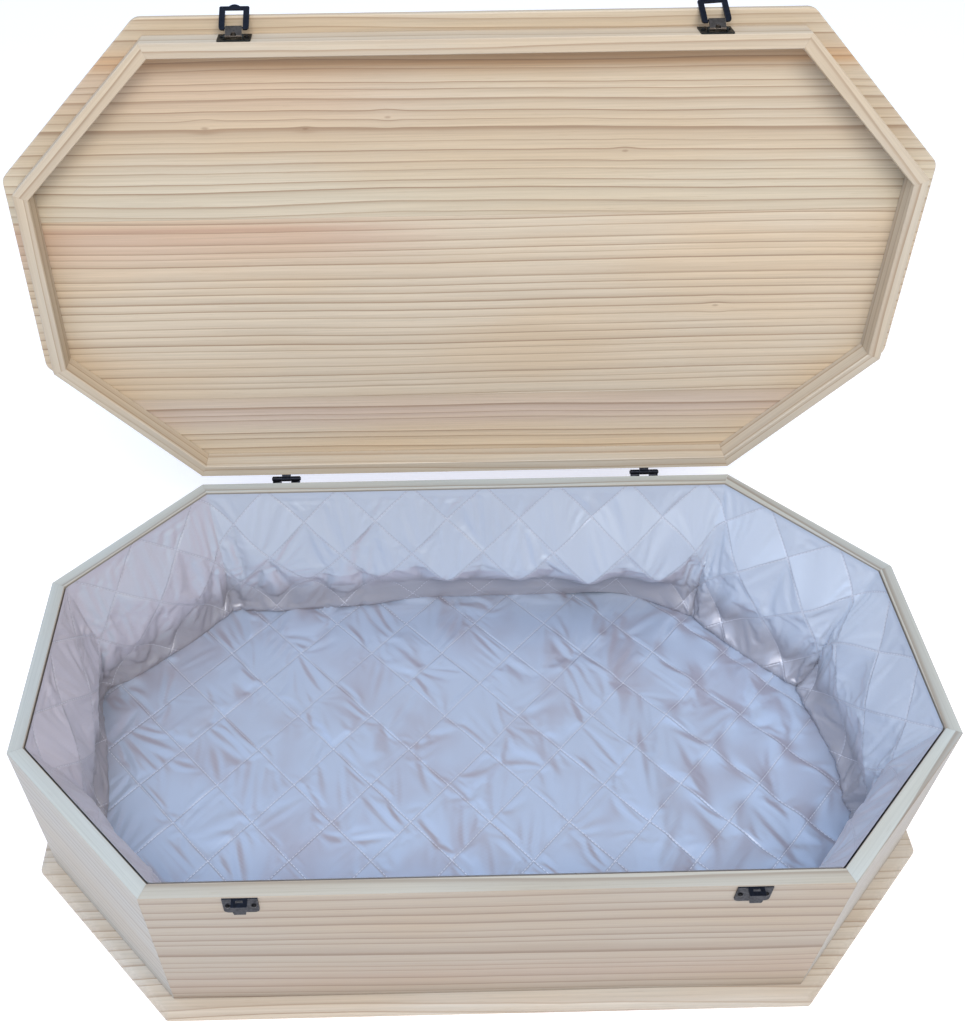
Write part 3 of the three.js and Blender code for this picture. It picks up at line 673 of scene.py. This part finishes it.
def satin(name, dark_side, light_side, warm, painted_sky_tone, shaded_rows=None):
    """Glossy cloth with painted light: its colour turns from a warm tone to a painted sky reflection as it
    turns to the light. The UV map counts stitch lines, so a whole number is a line of stitches. The stitch
    grooves carry painted shade. Shaded rows are where the painted deep shade under a bulge sets in.
    """
    graph = Graph(name)
    point = graph.object_point()
    weave = graph.noise(graph.vector("MULTIPLY", point, (2600.0, 2600.0, 2600.0)), detail=1.0)
    places = graph.split(graph.node("ShaderNodeUVMap", uv_map="quilt").outputs[0])
    # In mm
    line_spacing = 59.6
    stitch_length = 4.2
    stitch_width = 0.5
    groove = thread = None
    for across, along in ((places[0], places[1]), (places[1], places[0])):
        off = graph.math("ABSOLUTE", graph.math("SUBTRACT", across, graph.math("ROUND", across)))
        off = graph.math("MULTIPLY", off, line_spacing)
        dash = graph.math("FRACT", graph.math("MULTIPLY", along, line_spacing / stitch_length))
        line = graph.math("MULTIPLY", graph.span(off, 0.5 * stitch_width, stitch_width, 1.0, 0.0),
                          graph.span(dash, 0.30, 0.38))
        dip = graph.span(off, 0.1, 1.9)
        thread = line if thread is None else graph.math("MAXIMUM", thread, line)
        groove = dip if groove is None else graph.math("MINIMUM", groove, dip)
    # Painted light: the colour turns to the painted sky reflection where the cloth faces up and towards the
    # front left, where the light comes from.
    facing = graph.node("ShaderNodeTexCoord").outputs["Normal"]
    toward = graph.vector("DOT_PRODUCT", facing, Vector((-0.42, -0.42, 0.80)).normalized())
    shade = graph.noise(point, scale=16.0, detail=2.0)
    toward = graph.math("ADD", toward, graph.span(shade, 0.25, 0.75, -0.06, 0.06))
    colour = graph.mix(graph.span(toward, dark_side, light_side), warm, painted_sky_tone)
    # Painted shade darkens the stitch grooves.
    colour = graph.mix(graph.math("MULTIPLY", graph.math("SUBTRACT", 1.0, groove), 0.38), colour,
                       tuple(0.6 * c for c in warm))
    if shaded_rows:
        shaded = graph.span(graph.math("SUBTRACT", places[0], places[1]), *shaded_rows)
        colour = graph.mix(graph.math("MULTIPLY", shaded, 0.8), colour, tuple(0.5 * c for c in warm))
    colour = graph.mix(graph.math("MULTIPLY", thread, 0.65), colour, (0.80, 0.80, 0.84))
    relief = graph.math("ADD", graph.math("MULTIPLY", weave, 0.05), graph.math("MULTIPLY", groove, 0.8))
    graph.surface(Base_Color=colour, Roughness=0.39, Metallic=0.25, Specular_IOR_Level=0.8,
                  Sheen_Weight=0.15, Sheen_Roughness=0.4, Normal=graph.bump(relief, 0.5, 0.0008))
    return graph.material


def mesh_points(mesh):
    points = np.zeros(3 * len(mesh.vertices), np.float32)
    mesh.vertices.foreach_get("co", points)
    return points.reshape(-1, 3).astype(float)


# The floor's satin is the band's cloth with painted shade: its tones are set darker, and its sky tone bluer,
# than the band's.
band_satin = satin("quilted_satin_band", 0.0, 0.56, (0.66, 0.61, 0.645), (0.62, 0.66, 0.715), (0.8, 1.7))
floor_satin = satin("quilted_satin_floor", 0.66, 0.85, (0.345, 0.325, 0.365), (0.395, 0.445, 0.53))
HEM_ROW = -38
FOOT_ROW = 51
BAND_CELLS = (0, BAND_COLUMNS * CELL_STEPS, HEM_ROW, FOOT_ROW, True)
band_mesh, band_steps = diamond_mesh("lining_band", BAND_CELLS, band_points)
band_sewn = mesh_points(band_mesh)
rows_down = band_steps[:, 1] - HEM_ROW
band_free = np.clip((rows_down - 3) / 5, 0, 1)
band_free[(band_sewn[:, 2] < 0.041) | (rows_down == 0)] = 0
back_middle = (band_sewn[:, 1] > 0.17) & (band_sewn[:, 0] > -0.12) & (band_sewn[:, 0] < 0.24)
band_free[back_middle & (band_sewn[:, 2] < 0.080)] = 0
band_full = band_points(band_steps / CELL_STEPS, 0.038)
quilt("lining_band", band_mesh, band_steps, band_free, band_full, band_satin, "lining_side_band",
      slack=0.026, pressure=2.9, height=0.0048)

FLOOR_REACH = (12 * CELL_STEPS, 7 * CELL_STEPS)
FLOOR_CELLS = (-FLOOR_REACH[0], FLOOR_REACH[0], -FLOOR_REACH[1], FLOOR_REACH[1], False)
floor_mesh, floor_steps = diamond_mesh("lining_floor", FLOOR_CELLS, floor_points, within_walls)
floor_full = floor_points(floor_steps / CELL_STEPS, 0.008)
quilt("lining_floor", floor_mesh, floor_steps, np.ones(len(floor_steps)), floor_full, floor_satin,
      "lining_floor_pad", slack=0.001, pressure=1.2, height=0.0036)

# Floor and light


def pale_floor():
    graph = Graph("pale_floor")
    shade = graph.noise(graph.object_point(), scale=3.0, detail=2.0)
    colour = graph.mix(shade, (0.93, 0.93, 0.92), (0.95, 0.95, 0.94))
    graph.surface(Base_Color=colour, Roughness=0.9, Specular_IOR_Level=0.1,
                  Emission_Color=(1.0, 0.80, 0.66), Emission_Strength=0.31)
    return graph.material


floor_size = 12.0
ground_mesh = bpy.data.meshes.new("ground")
ground_corners = [(x * floor_size, y * floor_size, 0) for x, y in ((-1, -1), (1, -1), (1, 1), (-1, 1))]
ground_mesh.from_pydata(ground_corners, [], [(0, 1, 2, 3)])
ground = bpy.data.objects.new("ground", ground_mesh)
ground_mesh.materials.append(pale_floor())
scene.collection.objects.link(ground)

world = bpy.data.worlds.new("studio")
world.use_nodes = True
backdrop = world.node_tree.nodes["Background"]
backdrop.inputs["Color"].default_value = (0.97, 0.97, 1.0, 1)
backdrop.inputs["Strength"].default_value = 0.35
scene.world = world


def soft_light(name, direction, colour, strength, spread):
    """A very wide distant light, shining along the direction."""
    data = bpy.data.lights.new(name, "SUN")
    data.color = colour
    data.energy = strength
    data.angle = math.radians(spread)
    lamp = bpy.data.objects.new(name, data)
    lamp.rotation_mode = "QUATERNION"
    lamp.rotation_quaternion = Vector(direction).to_track_quat("-Z", "Y")
    scene.collection.objects.link(lamp)


soft_light("sky", (0.42, 0.12, -1.0), (0.40, 0.62, 1.0), 2.3, 100)

panel_data = bpy.data.lights.new("panel", "AREA")
panel_data.shape = "RECTANGLE"
panel_data.size, panel_data.size_y = 1.8, 0.8
panel_data.energy = 36
panel_data.color = (1.0, 0.96, 0.92)
panel = bpy.data.objects.new("panel", panel_data)
panel.location = (0.15, -1.05, 2.10)
panel.rotation_mode = "QUATERNION"
panel.rotation_quaternion = (Vector((0, 0.25, 0.35)) - panel.location).to_track_quat("-Z", "Y")
panel.visible_camera = False
scene.collection.objects.link(panel)
scene.view_settings.view_transform = "Standard"
